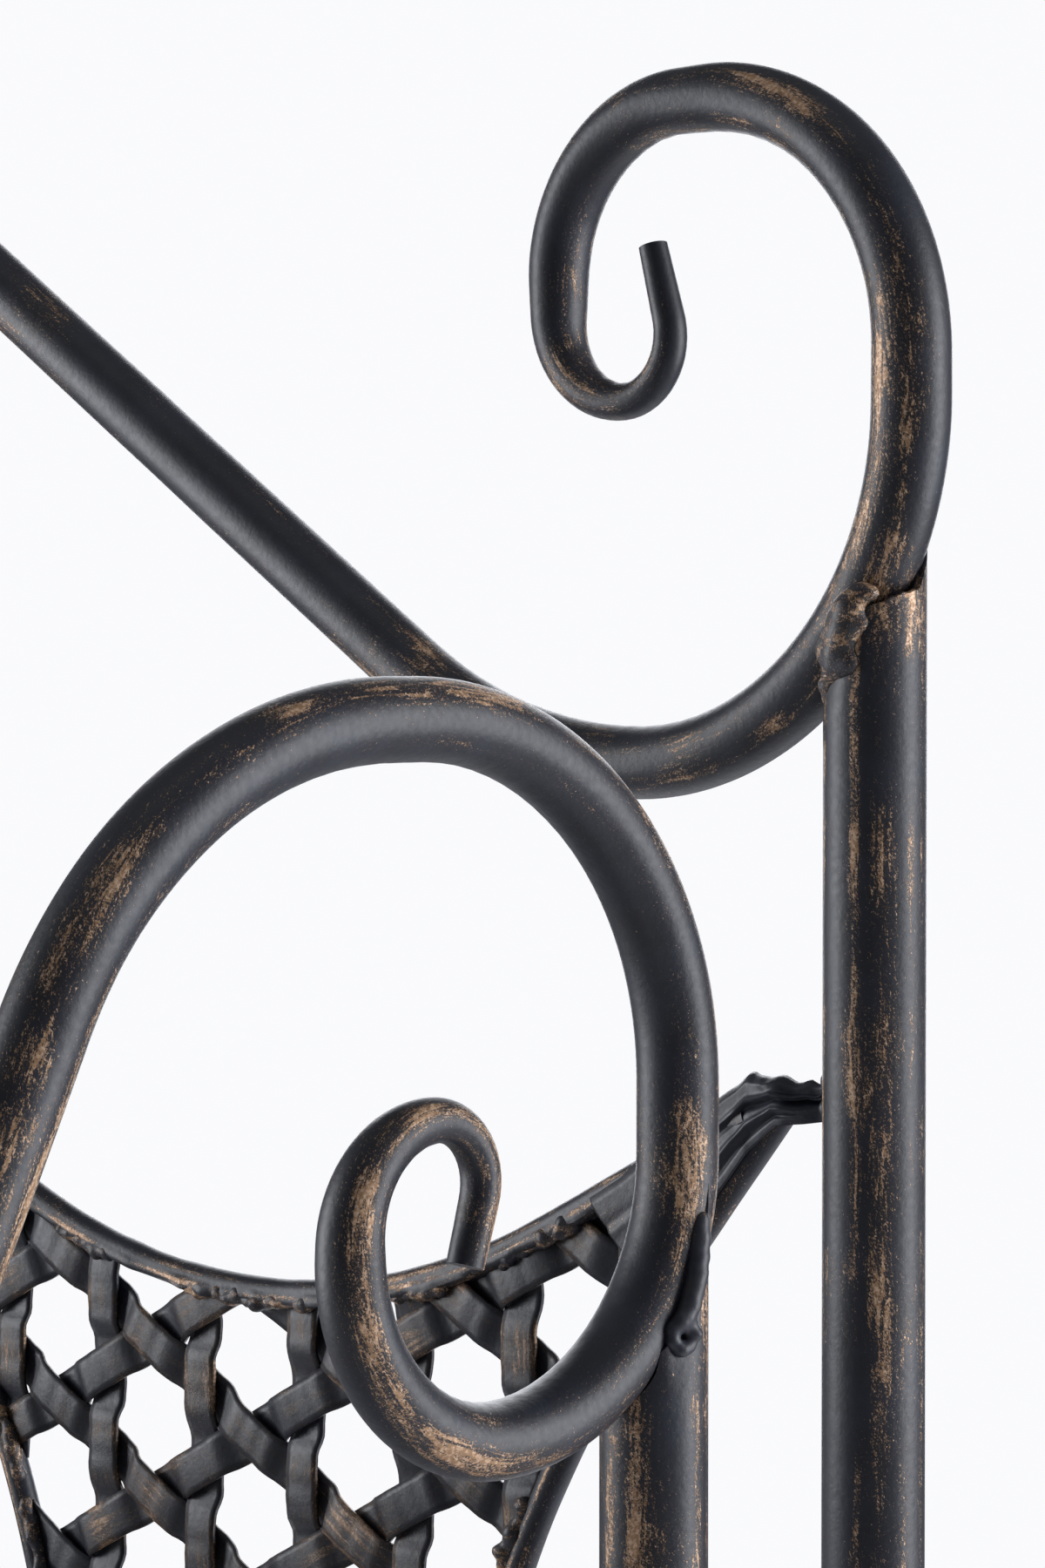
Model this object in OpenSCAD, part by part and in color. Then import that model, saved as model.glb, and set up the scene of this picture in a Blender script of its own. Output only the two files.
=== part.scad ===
// Two-seat garden bench with an arched trellis back. Steel tube is bent and welded into a frame,
// flat steel strip is woven into its back panels and seat, and the tube ends roll into scrolls.
// Front is -Y and up is +Z. The origin is on the floor under the middle of the bench.

/* [Back] */
// Distance between the two back posts, centre to centre
post_spacing = 888; // [868:2:908]
// Diameter of the back posts, the centre post and the arm posts
post_d = 25; // [24:0.5:26]
// Wall of all the round tube
tube_wall = 1.5; // [1.2:0.1:2]
// Height of the top rail's lowest point, at the middle of its tube
trough_z = 695; // [685:1:705]
// Slope of the top rail's straight runs, in degrees
rail_slope = 33; // [31:0.5:34]
// Bend radius at the top rail's crest
crest_r = 120; // [100:5:130]

/* [Tube] */
// Diameter of the top rail, the arms and the rails
rail_d = 19; // [18:0.5:20]
// Diameter of the bar round each back panel
panel_d = 7; // [6:0.5:10]
// Diameter of the bars under the seat
cross_d = 12; // [10:0.5:13]
// Diameter of the low side stretchers
stretcher_d = 16; // [12:0.5:18]

/* [Arms] */
// Distance from a back post to the arm post in front of it, centre to centre
arm_gap = 79; // [75:1:83]
// Height of an arm's highest point, at the middle of its tube
arm_top_z = 708; // [704:1:712]
// Slope of the front leg under the arm, in degrees
leg_slope = 64; // [62:0.5:66]
// Length of the leg's sloping straight run
leg_run = 300; // [290:1:310]

/* [Seat] */
// Height of the seat's tubes, at their middle
seat_z = 410; // [404:1:414]
// Number of bars under the seat
cross_bars = 3; // [2:1:4]
// Height of the side stretchers, at their middle
stretcher_z = 150; // [140:1:160]

/* [Weave] */
// Distance between neighbouring upright strips
weave_x = 41.5; // [40:0.5:43]
// Distance between neighbouring holes in one column
weave_z = 44.6; // [43:0.1:46]
// Width of a strip
strip_w = 10.5; // [8:0.5:12]
// Thickness of a strip
strip_t = 1; // [0.8:0.1:1.2]

/* [Feet] */
// Wall of the rubber foot caps
cap_wall = 3; // [2:0.5:4]
// Height of the foot caps
cap_h = 26; // [22:1:30]

/* [Hidden] */

$fn = 48;
charcoal = "#3a3b40";
bronze = "#6b4a35";
rubber_black = "#1c1c1e";

post_r = post_d / 2;
rail_r = rail_d / 2;
panel_r = panel_d / 2;
cross_r = cross_d / 2;
stretcher_r = stretcher_d / 2;
post_x = post_spacing / 2;
cap_base = 4;
fit_gap = 0.05;

// A tube's route is a list of steps in its own plane. [radius, angle] is a bend, to the left for a
// positive angle, and [0, length] is a straight run.
// Top rail, from the crest: over the crest, down the slope and into the trough beside the post.
trough_in = 78;
trough_r = 150;
slope_run = (post_x - trough_in - (crest_r + trough_r) * sin(rail_slope)) / cos(rail_slope);
crest_z = trough_z + (crest_r + trough_r) * (1 - cos(rail_slope)) + slope_run * sin(rail_slope);
// Then from the trough up past the post, and round the scroll, which is drawn down to a slim tip.
rise_r = 89;
rail_steps = [
    [crest_r, -rail_slope], [0, slope_run], [trough_r, rail_slope], [rise_r, 90],
    [0, 11], [65.5, 90], [0, 8], [42.5, 90], [0, 9], [22.5, 90], [16, 106], [0, 19]
];
rail_steps_drawn = 8;
rail_tip_r = 3.5;

// Arm, from its highest point: forwards and down into the front leg, and backwards into the scroll.
arm_crest_d = 84;
brow_r = 107;
knee_r = 260;
leg_d = arm_crest_d + brow_r * sin(leg_slope) + leg_run * cos(leg_slope) + knee_r * (1 - sin(leg_slope));
leg_straight = arm_top_z - brow_r * (1 - cos(leg_slope)) - leg_run * sin(leg_slope)
    - knee_r * cos(leg_slope) - cap_base;
leg_steps = [[brow_r, -leg_slope], [0, leg_run], [knee_r, leg_slope - 90], [0, leg_straight]];
arm_flat = 8;
shoulder_r = 84;
arm_drop = 16;
cradle_r = 59;
arm_steps = [
    [0, arm_flat], [shoulder_r, -90], [0, arm_drop], [cradle_r, -90], [45, -90], [0, 2], [25, -90],
    [14.5, -107], [0, 19]
];
arm_steps_drawn = 6;
arm_tip_r = 4;
// Middle of the bend that rests on the arm post, from the arm post's axis.
cradle_d = arm_crest_d - arm_flat - shoulder_r + cradle_r;
cradle_z = arm_top_z - shoulder_r - arm_drop;

// The bench is centred between the outsides of its front and back foot caps.
back_cap_r = post_r + cap_wall;
front_cap_r = rail_r + cap_wall;
back_y = (arm_gap + leg_d + front_cap_r - back_cap_r) / 2;
arm_y = back_y - arm_gap;
foot_y = arm_y - leg_d;

// Tops of the posts, before they are cut to the tube that rests on them.
back_post_top = trough_z + 54.5;
arm_post_top = cradle_z - 12;

// Back panel, from its own middle: corner beside the post, hollow top edge and hollow sides.
panel_x = post_x / 2;
panel_corner_in = 26;
panel_corner_x = panel_x - panel_corner_in;
panel_top_z = trough_z - 148.6;
panel_arc_r = 250;
panel_arc_a = 27;
panel_top_run = (panel_corner_x - panel_arc_r * sin(panel_arc_a)) / cos(panel_arc_a);
panel_corner_z = panel_top_z + panel_arc_r * (1 - cos(panel_arc_a)) + panel_top_run * sin(panel_arc_a);
panel_side_a = 50;
panel_side_run = 75;
panel_side_r = 300;
panel_side_z = panel_corner_z - panel_side_run * sin(panel_side_a);
panel_side_drop = panel_side_z - seat_z - rail_r - 0.6;
panel_side_turn = acos(cos(panel_side_a) - panel_side_drop / panel_side_r) - panel_side_a;
panel_part = panel_d / 2 / sin((panel_side_a - panel_arc_a) / 2) + 1.5;
gusset_run = 70;
gusset_t = 2.4;

// Seat: where the leg passes the seat's height, and the height of the weave in it.
leg_seat_drop = arm_top_z - brow_r * (1 - cos(leg_slope)) - seat_z;
leg_seat_d = arm_crest_d + brow_r * sin(leg_slope) + leg_seat_drop / tan(leg_slope);
seat_front_y = arm_y - leg_seat_d;
seat_weave_z = seat_z + 5;
cross_z = seat_z - 3;
layer = strip_t + fit_gap;

// Place after t millimetres of one step: [x, y, heading].
function step_length(s) = s[0] == 0 ? s[1] : s[0] * abs(s[1]) * PI / 180;
function step_end(p, s, t) =
    s[0] == 0
    ? [p[0] + t * cos(p[2]), p[1] + t * sin(p[2]), p[2]]
    : let(r = s[0] * sign(s[1]), h = p[2] + t / r * 180 / PI)
        [p[0] + r * (sin(h) - sin(p[2])), p[1] + r * (cos(p[2]) - cos(h)), h];
// Place after t millimetres of a whole route.
function route_place(steps, t, i = 0, p = [0, 0, 0]) =
    let(l = step_length(steps[i]))
    t <= l || i == len(steps) - 1
    ? step_end(p, steps[i], min(t, l))
    : route_place(steps, t - l, i + 1, step_end(p, steps[i], l));
function route_length(steps, i = 0) =
    i == len(steps) ? 0 : step_length(steps[i]) + route_length(steps, i + 1);

// Carries its children to the end of a route that starts at the origin heading along +X.
module at_route_end(steps) {
    p = route_place(steps, route_length(steps));
    translate([p[0], p[1], 0]) rotate([0, 0, p[2]]) children();
}

module ring_2d(r, wall) {
    difference() {
        circle(r);
        if (wall > 0) circle(r - wall);
    }
}

// Rings of points round a route, each [x, y, z]. The last `drawn` steps narrow from r0 to r1.
bar_sides = 20;
function route_stops(steps) = [
    for (i = [0 : len(steps) - 1])
        let(
            s = steps[i],
            l = step_length(s),
            before = route_length([for (j = [0 : 1 : i - 1]) steps[j]]),
            n = s[0] != 0 ? ceil(abs(s[1]) / 6) : l < 30 ? 2 : 1
        )
        for (j = [1 : n]) before + l * j / n
];
function route_rings(steps, drawn, r0, r1) = [
    for (t = concat([0], route_stops(steps)))
        let(
            total = route_length(steps),
            full = route_length([for (j = [0 : 1 : len(steps) - drawn - 1]) steps[j]]),
            share = drawn == 0 ? 0 : max(0, t - full) / (total - full),
            r = r0 - (r0 - r1) * pow(share, 2.5),
            p = route_place(steps, t)
        )
        [
            for (k = [0 : bar_sides - 1])
                let(a = 360 * k / bar_sides)
                [p[0] - r * cos(a) * sin(p[2]), p[1] + r * cos(a) * cos(p[2]), r * sin(a)]
        ]
];

// One bent bar through the origin: `ahead` are the rings towards +X, and `behind` are the rings of its
// other half, drawn towards +X too and turned over to -X here.
module bent_bar(behind, ahead) {
    turned = [
        for (i = [len(behind) - 1 : -1 : 1])
            [for (q = behind[i]) [-q[0], q[1], q[2]]]
    ];
    rings = concat(turned, ahead);
    n = bar_sides;
    skin = [
        for (i = [0 : len(rings) - 2], k = [0 : n - 1])
            let(m = (k + 1) % n)
            each [
                [i * n + k, i * n + m, (i + 1) * n + m],
                [i * n + k, (i + 1) * n + m, (i + 1) * n + k]
            ]
    ];
    first = [for (k = [n - 1 : -1 : 0]) k];
    last = [for (k = [0 : n - 1]) (len(rings) - 1) * n + k];
    polyhedron([for (ring = rings) each ring], concat(skin, [first, last]));
}

module mirrored_pair() {
    children();
    mirror([1, 0, 0]) children();
}

// Drawing plane of the back: x is across the bench and y is up.
module in_back_plane(z) {
    translate([0, back_y, z]) rotate([90, 0, 0]) children();
}

// ---- Posts ----

module upright_tube(x, y, z0, z1) {
    translate([x, y, z0]) linear_extrude(z1 - z0) ring_2d(post_r, tube_wall);
}

// Space above the outside of the top rail's rise, which the back post's top is cut to.
module rise_cutter() {
    in_back_plane(trough_z + rise_r) translate([post_x - trough_in, 0, -post_r - 1])
        cylinder(r = rise_r + rail_r + fit_gap, h = post_d + 2, $fn = 180);
}

module back_post() {
    color(charcoal) difference() {
        upright_tube(post_x, back_y, cap_base, back_post_top);
        rise_cutter();
    }
}

module centre_post() {
    sag = crest_r - rail_r - sqrt(pow(crest_r - rail_r, 2) - pow(post_r, 2));
    color(charcoal) difference() {
        upright_tube(0, back_y, seat_z, crest_z - rail_r - sag - fit_gap);
        x_bar(back_y, seat_z, post_d, rail_r + fit_gap);
    }
}

module arm_post() {
    color(charcoal) difference() {
        upright_tube(post_x, arm_y, seat_z, arm_post_top);
        translate([post_x - post_r - 1, arm_y - cradle_d, cradle_z]) rotate([0, 90, 0])
            cylinder(r = cradle_r + rail_r + fit_gap, h = post_d + 2, $fn = 180);
        y_bar(post_x, seat_z, arm_y - post_d, arm_y + post_d, rail_r + fit_gap);
    }
}

// ---- Bars along the axes, used as parts and to cut their neighbours ----

module x_bar(y, z, half_length, r, wall = 0) {
    translate([-half_length, y, z]) rotate([0, 90, 0]) linear_extrude(2 * half_length) ring_2d(r, wall);
}

module y_bar(x, z, y0, y1, r, wall = 0) {
    translate([x, y1, z]) rotate([90, 0, 0]) linear_extrude(y1 - y0) ring_2d(r, wall);
}

// Solid cylinder in a post's place, to cut what is welded to it.
module post_solid(x, y) {
    translate([x, y, 0]) cylinder(r = post_r + fit_gap, h = crest_z);
}

// ---- Top rail ----

module top_rail() {
    half = route_rings(rail_steps, rail_steps_drawn, rail_r, rail_tip_r);
    color(charcoal) in_back_plane(crest_z) bent_bar(half, half);
}

// ---- Back panel: bar frame, corner gussets and woven strip ----

// The side bars run up to the corners, and the top bar stops where they would touch it.
module panel_frame() {
    top = route_rings([[panel_arc_r, panel_arc_a], [0, panel_top_run - panel_part]], 0, panel_r, panel_r);
    side = route_rings([[0, panel_side_run], [panel_side_r, panel_side_turn]], 0, panel_r, panel_r);
    color(charcoal) in_back_plane(panel_top_z) translate([panel_x, 0, 0]) {
        bent_bar(top, top);
        mirrored_pair() at_route_end([[panel_arc_r, panel_arc_a], [0, panel_top_run]])
            rotate([0, 0, 180 + panel_side_a - panel_arc_a]) bent_bar([], side);
    }
}

// Points beside the panel's bar, `gap` inside its middle line; x from the panel's middle, y up.
function panel_top_points(gap) = [
    for (a = [0 : 3 : panel_arc_a])
        [(panel_arc_r + gap) * sin(a), panel_top_z + panel_arc_r - (panel_arc_r + gap) * cos(a)]
];
function panel_wedge_point(run, a, gap) = [
    panel_corner_x - run * cos(a) + gap * sin(a),
    panel_corner_z - run * sin(a) - gap * cos(a)
];
function panel_side_points(gap) = [
    for (i = [0 : 8])
        let(a = panel_side_a + panel_side_turn * i / 8, bend = panel_side_r + gap)
        [
            panel_corner_x - panel_side_run * cos(panel_side_a)
                + panel_side_r * sin(panel_side_a) - bend * sin(a),
            panel_side_z - panel_side_r * cos(panel_side_a) + bend * cos(a)
        ]
];
function mirror_points(points) = [for (i = [len(points) - 1 : -1 : 0]) [-points[i][0], points[i][1]]];

module weave_field_2d() {
    gap = panel_r + fit_gap;
    half = concat(
        panel_top_points(gap),
        [panel_wedge_point(gusset_run, panel_arc_a, gap), panel_wedge_point(gusset_run, panel_side_a, -gap)],
        panel_side_points(gap)
    );
    difference() {
        polygon(concat(half, mirror_points(half)));
        translate([-panel_x, seat_z - panel_x]) square([2 * panel_x, panel_x + rail_r + fit_gap]);
    }
}

// Parallel strips in one flat layer. The holes' columns stand on x = 0 and their rows on y = 0;
// slant is -1, 0 or 1 for falling, straight and rising strips.
module strip_layer(slant, half_w, half_h) {
    if (slant == 0) {
        for (i = [-floor(half_w / weave_x + 0.5) : floor(half_w / weave_x - 0.5)])
            translate([(i + 0.5) * weave_x, 0, 0])
                cube([strip_w, 2 * half_h, strip_t], center = true);
    } else {
        tilt = atan(slant * weave_z / 2 / weave_x);
        reach = half_h + half_w * abs(tan(tilt));
        for (i = [-floor(reach / weave_z + 0.5) : floor(reach / weave_z - 0.5)])
            translate([0, (i + 0.5) * weave_z, 0]) rotate([0, 0, tilt])
                cube([2.4 * half_w, strip_w, strip_t], center = true);
    }
}

// Strips of one direction in one back panel; level -1, 0 or 1 is the layer, front to back.
module panel_strips(slant, level) {
    hole_z = panel_top_z - 18;
    color(bronze) in_back_plane(0) translate([panel_x, 0, -level * layer]) intersection() {
        translate([0, 0, -strip_t]) linear_extrude(2 * strip_t) weave_field_2d();
        translate([0, hole_z, 0]) strip_layer(slant, panel_x, 3 * weave_z + panel_x / 2);
    }
}

// Flattened corner of the panel: a web between its two bars, and a tab that meets the post.
module corner_gusset() {
    beside = panel_r + fit_gap;
    color(charcoal) difference() {
        in_back_plane(0) translate([panel_x, 0, -gusset_t / 2]) linear_extrude(gusset_t) polygon([
            [panel_x, panel_corner_z + 7],
            [panel_corner_x - 11, panel_corner_z + 4],
            panel_wedge_point(panel_part - fit_gap, panel_arc_a, -panel_r),
            panel_wedge_point(panel_part - fit_gap, panel_arc_a, beside),
            panel_wedge_point(gusset_run, panel_arc_a, beside),
            panel_wedge_point(gusset_run, panel_side_a, -beside),
            panel_wedge_point(-fit_gap, panel_side_a, -beside),
            panel_wedge_point(-fit_gap, panel_side_a, beside),
            [panel_x, panel_corner_z - 9]
        ]);
        post_solid(post_x, back_y);
    }
}

module all_corner_gussets() {
    mirrored_pair() {
        corner_gusset();
        translate([2 * panel_x, 0, 0]) mirror([1, 0, 0]) corner_gusset();
    }
}

// ---- Arm with its front leg, and the arm's straight leg run as a solid for cutting ----

module arm() {
    leg = route_rings(leg_steps, 0, rail_r, rail_r);
    scroll = route_rings(arm_steps, arm_steps_drawn, rail_r, arm_tip_r);
    color(charcoal) translate([post_x, arm_y - arm_crest_d, arm_top_z]) rotate([90, 0, 90])
        bent_bar(leg, scroll);
}

module leg_solid() {
    top_d = arm_crest_d + brow_r * sin(leg_slope);
    top_z = arm_top_z - brow_r * (1 - cos(leg_slope));
    translate([post_x, arm_y - top_d, top_z]) rotate([90 + leg_slope, 0, 0])
        cylinder(r = rail_r + fit_gap, h = leg_run);
    translate([post_x, foot_y, 0]) cylinder(r = rail_r + fit_gap, h = leg_straight + cap_base);
}

// ---- Seat ----

module seat_front_rail() {
    color(charcoal) difference() {
        x_bar(seat_front_y, seat_z, post_x, rail_r, tube_wall);
        mirrored_pair() leg_solid();
    }
}

module seat_rear_rail() {
    color(charcoal) difference() {
        x_bar(back_y, seat_z, post_x, rail_r, tube_wall);
        mirrored_pair() post_solid(post_x, back_y);
    }
}

module seat_side_rail() {
    color(charcoal) difference() {
        y_bar(post_x, seat_z, seat_front_y, back_y, rail_r, tube_wall);
        post_solid(post_x, back_y);
        leg_solid();
    }
}

module seat_cross_bars() {
    gap = post_spacing / (cross_bars + 1);
    color(charcoal) difference() {
        for (i = [1 : cross_bars])
            y_bar(i * gap - post_x, cross_z, seat_front_y, back_y, cross_r, tube_wall);
        x_bar(seat_front_y, seat_z, post_x, rail_r + fit_gap);
        x_bar(back_y, seat_z, post_x, rail_r + fit_gap);
    }
}

module seat_strips(slant, level) {
    side = post_x - rail_r - fit_gap;
    depth = back_y - seat_front_y;
    edge = sqrt(pow(rail_r, 2) - pow(seat_weave_z - seat_z - 1.5 * layer, 2)) + fit_gap;
    color(bronze) translate([0, 0, seat_weave_z + level * layer]) intersection() {
        translate([-side, seat_front_y + edge, -strip_t]) cube([2 * side, depth - 2 * edge, 2 * strip_t]);
        translate([0, (seat_front_y + back_y) / 2, 0]) strip_layer(slant, post_x, depth / 2);
    }
}

// ---- Side stretcher ----

module side_stretcher() {
    color(charcoal) difference() {
        y_bar(post_x, stretcher_z, foot_y, back_y, stretcher_r, tube_wall);
        post_solid(post_x, back_y);
        leg_solid();
    }
}

// ---- Welds ----

// Height of a weld bead on a post's wall, under a bend of radius `bend` in the tube that rests on the
// post. It is `across` from the bend's plane and `ahead` of the bend's middle, and under the cut rim.
function bead_drop(r, bend, ahead, across) = max(
    sqrt(pow(bend + sqrt(pow(rail_r + r + fit_gap, 2) - pow(across, 2)), 2) - pow(ahead, 2)),
    sqrt(pow(bend + rail_r, 2) - pow(ahead, 2)) + 1
);

// Short upright bead that lies within a ball of radius r.
module bead(r) {
    cylinder(r = 0.75 * r, h = 1.3 * r, center = true);
}

// Beads round the back post, on the side under the top rail.
module rail_weld() {
    bead_r = 3.2;
    ring_r = post_r + 0.5;
    color(bronze) difference() {
        for (a = [120 : 30 : 240])
            translate([
                post_x + ring_r * cos(a), back_y + ring_r * sin(a),
                trough_z + rise_r - bead_drop(bead_r, rise_r, trough_in + ring_r * cos(a), ring_r * sin(a))
            ]) bead(bead_r);
        post_solid(post_x, back_y);
    }
}

// Beads round the arm post, on the high side behind the arm's cradle bend.
module arm_weld() {
    bead_r = 3.2;
    ring_r = post_r + 0.5;
    color(bronze) difference() {
        for (a = [30 : 30 : 150])
            translate([
                post_x + ring_r * cos(a), arm_y + ring_r * sin(a),
                cradle_z - bead_drop(bead_r, cradle_r, cradle_d + ring_r * sin(a), ring_r * cos(a))
            ]) bead(bead_r);
        post_solid(post_x, arm_y);
    }
}

// Lumps in front of and behind the tab that joins a panel corner to its post.
module panel_weld() {
    bead_r = 4;
    color(bronze) difference() {
        translate([post_x - post_r - 1, back_y, panel_corner_z - 1]) sphere(bead_r);
        translate([post_x - post_d, back_y - gusset_t / 2 - fit_gap, panel_corner_z - post_d])
            cube([post_d, gusset_t + 2 * fit_gap, 2 * post_d]);
        post_solid(post_x, back_y);
    }
}

module all_panel_welds() {
    mirrored_pair() {
        panel_weld();
        translate([post_x, 0, 0]) mirror([1, 0, 0]) panel_weld();
    }
}

// ---- Feet ----

module foot_cap(x, y, inner_r) {
    color(rubber_black) translate([x, y, 0]) difference() {
        cylinder(r = inner_r + cap_wall, h = cap_h);
        translate([0, 0, cap_base]) cylinder(r = inner_r + fit_gap / 2, h = cap_h);
    }
}

back_post();  // back_post_right
mirror([1, 0, 0]) back_post();  // back_post_left
centre_post();
top_rail();
panel_frame();  // panel_frame_right
mirror([1, 0, 0]) panel_frame();  // panel_frame_left
panel_strips(0, 0);  // upright_strips_right
panel_strips(1, -1);  // rising_strips_right
panel_strips(-1, 1);  // falling_strips_right
translate([-post_x, 0, 0]) panel_strips(0, 0);  // upright_strips_left
translate([-post_x, 0, 0]) panel_strips(1, -1);  // rising_strips_left
translate([-post_x, 0, 0]) panel_strips(-1, 1);  // falling_strips_left
all_corner_gussets();  // corner_gussets
arm();  // arm_right
mirror([1, 0, 0]) arm();  // arm_left
arm_post();  // arm_post_right
mirror([1, 0, 0]) arm_post();  // arm_post_left
seat_front_rail();
seat_rear_rail();
seat_side_rail();  // seat_side_rail_right
mirror([1, 0, 0]) seat_side_rail();  // seat_side_rail_left
seat_cross_bars();
seat_strips(0, 0);  // seat_straight_strips
seat_strips(1, 1);  // seat_rising_strips
seat_strips(-1, -1);  // seat_falling_strips
side_stretcher();  // side_stretcher_right
mirror([1, 0, 0]) side_stretcher();  // side_stretcher_left
mirrored_pair() rail_weld();  // rail_welds
mirrored_pair() arm_weld();  // arm_welds
all_panel_welds();  // panel_welds
foot_cap(post_x, back_y, post_r);  // back_foot_cap_right
foot_cap(-post_x, back_y, post_r);  // back_foot_cap_left
foot_cap(post_x, foot_y, rail_r);  // front_foot_cap_right
foot_cap(-post_x, foot_y, rail_r);  // front_foot_cap_left
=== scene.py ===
"""A two-seat garden bench with an arched trellis back: bent tube with drawn-down scrolls, woven
steel strip, folded panel corners and weld beads, all in charcoal paint rubbed with bronze."""

import math

import bmesh
import bpy
import numpy as np
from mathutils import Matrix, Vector


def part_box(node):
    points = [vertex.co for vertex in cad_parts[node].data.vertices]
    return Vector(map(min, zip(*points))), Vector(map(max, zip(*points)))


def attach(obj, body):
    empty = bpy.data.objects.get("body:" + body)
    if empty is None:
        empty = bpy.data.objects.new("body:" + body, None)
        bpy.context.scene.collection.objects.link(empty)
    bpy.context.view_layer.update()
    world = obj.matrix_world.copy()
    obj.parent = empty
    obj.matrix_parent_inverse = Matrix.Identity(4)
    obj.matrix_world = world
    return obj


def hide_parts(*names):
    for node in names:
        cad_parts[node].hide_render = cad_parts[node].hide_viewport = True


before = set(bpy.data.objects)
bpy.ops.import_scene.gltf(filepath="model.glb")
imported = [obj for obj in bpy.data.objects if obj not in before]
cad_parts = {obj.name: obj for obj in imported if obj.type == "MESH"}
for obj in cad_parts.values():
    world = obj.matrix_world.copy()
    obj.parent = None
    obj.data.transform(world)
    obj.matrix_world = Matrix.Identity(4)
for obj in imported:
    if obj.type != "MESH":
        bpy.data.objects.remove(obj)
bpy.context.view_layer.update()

MM = 0.001

# ---- Sizes, in millimetres. Places come from the frame's boxes. ----

POST_R, RAIL_R, PANEL_R = 12.5, 9.5, 4.0
WALL = 1.5
STRIP_W, STRIP_T = 12.4, 1.1
# The weave's repeat sideways and upwards.
WEAVE_X, WEAVE_Z = 41.5, 44.6
# How far a strip stands forward where it passes over, and how hard it is bent there.
RELIEF, STRIP_BEND = 1.45, 3.0
# Length over which a strip's end is drawn to its bar.
STRIP_END = 13.0
# The seat's weave lies this high over its rails' middle at their edge, and sags this much.
SEAT_WEAVE_UP, SEAT_SAG = 5.5, 2.0


def box_mm(node):
    low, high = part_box(node)
    return np.array(low) / MM, np.array(high) / MM


def middle_mm(node):
    low, high = box_mm(node)
    return (low + high) / 2


POST = middle_mm("back_post_right")
POST_X, BACK_Y = POST[0], POST[1]
ARM_Y = middle_mm("arm_post_right")[1]
CREST_Z = box_mm("top_rail")[1][2] - RAIL_R
ARM_TOP_Z = box_mm("arm_right")[1][2] - RAIL_R
SEAT_Z = middle_mm("seat_front_rail")[2]
SEAT_FRONT_Y = middle_mm("seat_front_rail")[1]
PANEL_X = POST_X / 2

# Routes of the bent tubes. [radius, angle] is a bend, to the left for a positive angle, and
# [0, length] is a straight run.
RAIL_SLOPE = 33.0
CREST_BEND, TROUGH_BEND, RISE_BEND = 120.0, 150.0, 89.0
TROUGH_IN = 78.0
SLOPE_RUN = (
    POST_X - TROUGH_IN - (CREST_BEND + TROUGH_BEND) * math.sin(math.radians(RAIL_SLOPE))
) / math.cos(math.radians(RAIL_SLOPE))
TROUGH_Z = (
    CREST_Z
    - (CREST_BEND + TROUGH_BEND) * (1 - math.cos(math.radians(RAIL_SLOPE)))
    - SLOPE_RUN * math.sin(math.radians(RAIL_SLOPE))
)
RAIL_STEPS = [
    [CREST_BEND, -RAIL_SLOPE], [0, SLOPE_RUN], [TROUGH_BEND, RAIL_SLOPE], [RISE_BEND, 90],
    [0, 11], [65.5, 90], [0, 8], [42.5, 90], [0, 9], [22.5, 90], [16, 106], [0, 19],
]
ARM_CREST_D = 84.0
BROW_BEND, LEG_SLOPE, LEG_RUN, KNEE_BEND = 107.0, 64.0, 300.0, 260.0
CAP_BASE = 4.0
LEG_STRAIGHT = (
    ARM_TOP_Z
    - BROW_BEND * (1 - math.cos(math.radians(LEG_SLOPE)))
    - LEG_RUN * math.sin(math.radians(LEG_SLOPE))
    - KNEE_BEND * math.cos(math.radians(LEG_SLOPE))
    - CAP_BASE
)
LEG_STEPS = [
    [BROW_BEND, -LEG_SLOPE], [0, LEG_RUN], [KNEE_BEND, LEG_SLOPE - 90], [0, LEG_STRAIGHT],
]
SHOULDER_BEND, ARM_DROP, CRADLE_BEND = 84.0, 16.0, 59.0
ARM_STEPS = [
    [0, 8], [SHOULDER_BEND, -90], [0, ARM_DROP], [CRADLE_BEND, -90], [45, -90], [0, 2],
    [25, -90], [14.5, -107], [0, 14.5],
]

# Back panel, about its own middle.
PANEL_TOP_Z = TROUGH_Z - 148.6
PANEL_BEND, PANEL_TILT = 250.0, 27.0
CORNER_X = PANEL_X - 26.0
SIDE_TILT, SIDE_RUN, SIDE_BEND = 50.0, 75.0, 300.0
GUSSET_RUN = 66.0
HOLE_Z = PANEL_TOP_Z - 18.0


# ---- Routes ----


def step_length(step):
    return step[1] if step[0] == 0 else step[0] * math.radians(abs(step[1]))


def route_length(steps):
    return sum(step_length(s) for s in steps)


def step_end(place, step, t):
    """Place t millimetres along one step, from a place [x, y, heading in radians]."""
    x, y, h = place
    if step[0] == 0:
        return x + t * math.cos(h), y + t * math.sin(h), h
    r = math.copysign(step[0], step[1])
    turned = h + t / r
    return (
        x + r * (math.sin(turned) - math.sin(h)),
        y + r * (math.cos(h) - math.cos(turned)),
        turned,
    )


def route_places(steps, stops):
    """Rows of x, y, heading and bend (1 / signed radius) at each stop along a route."""
    rows = []
    starts, place, done = [], (0.0, 0.0, 0.0), 0.0
    for step in steps:
        starts.append((done, place, step))
        place = step_end(place, step, step_length(step))
        done += step_length(step)
    for t in stops:
        before, start, step = starts[0]
        for row in starts:
            if t >= row[0] - 1e-6:
                before, start, step = row
        bend = 0.0 if step[0] == 0 else math.copysign(1 / step[0], step[1])
        rows.append((*step_end(start, step, t - before), bend))
    return np.array(rows)


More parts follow.
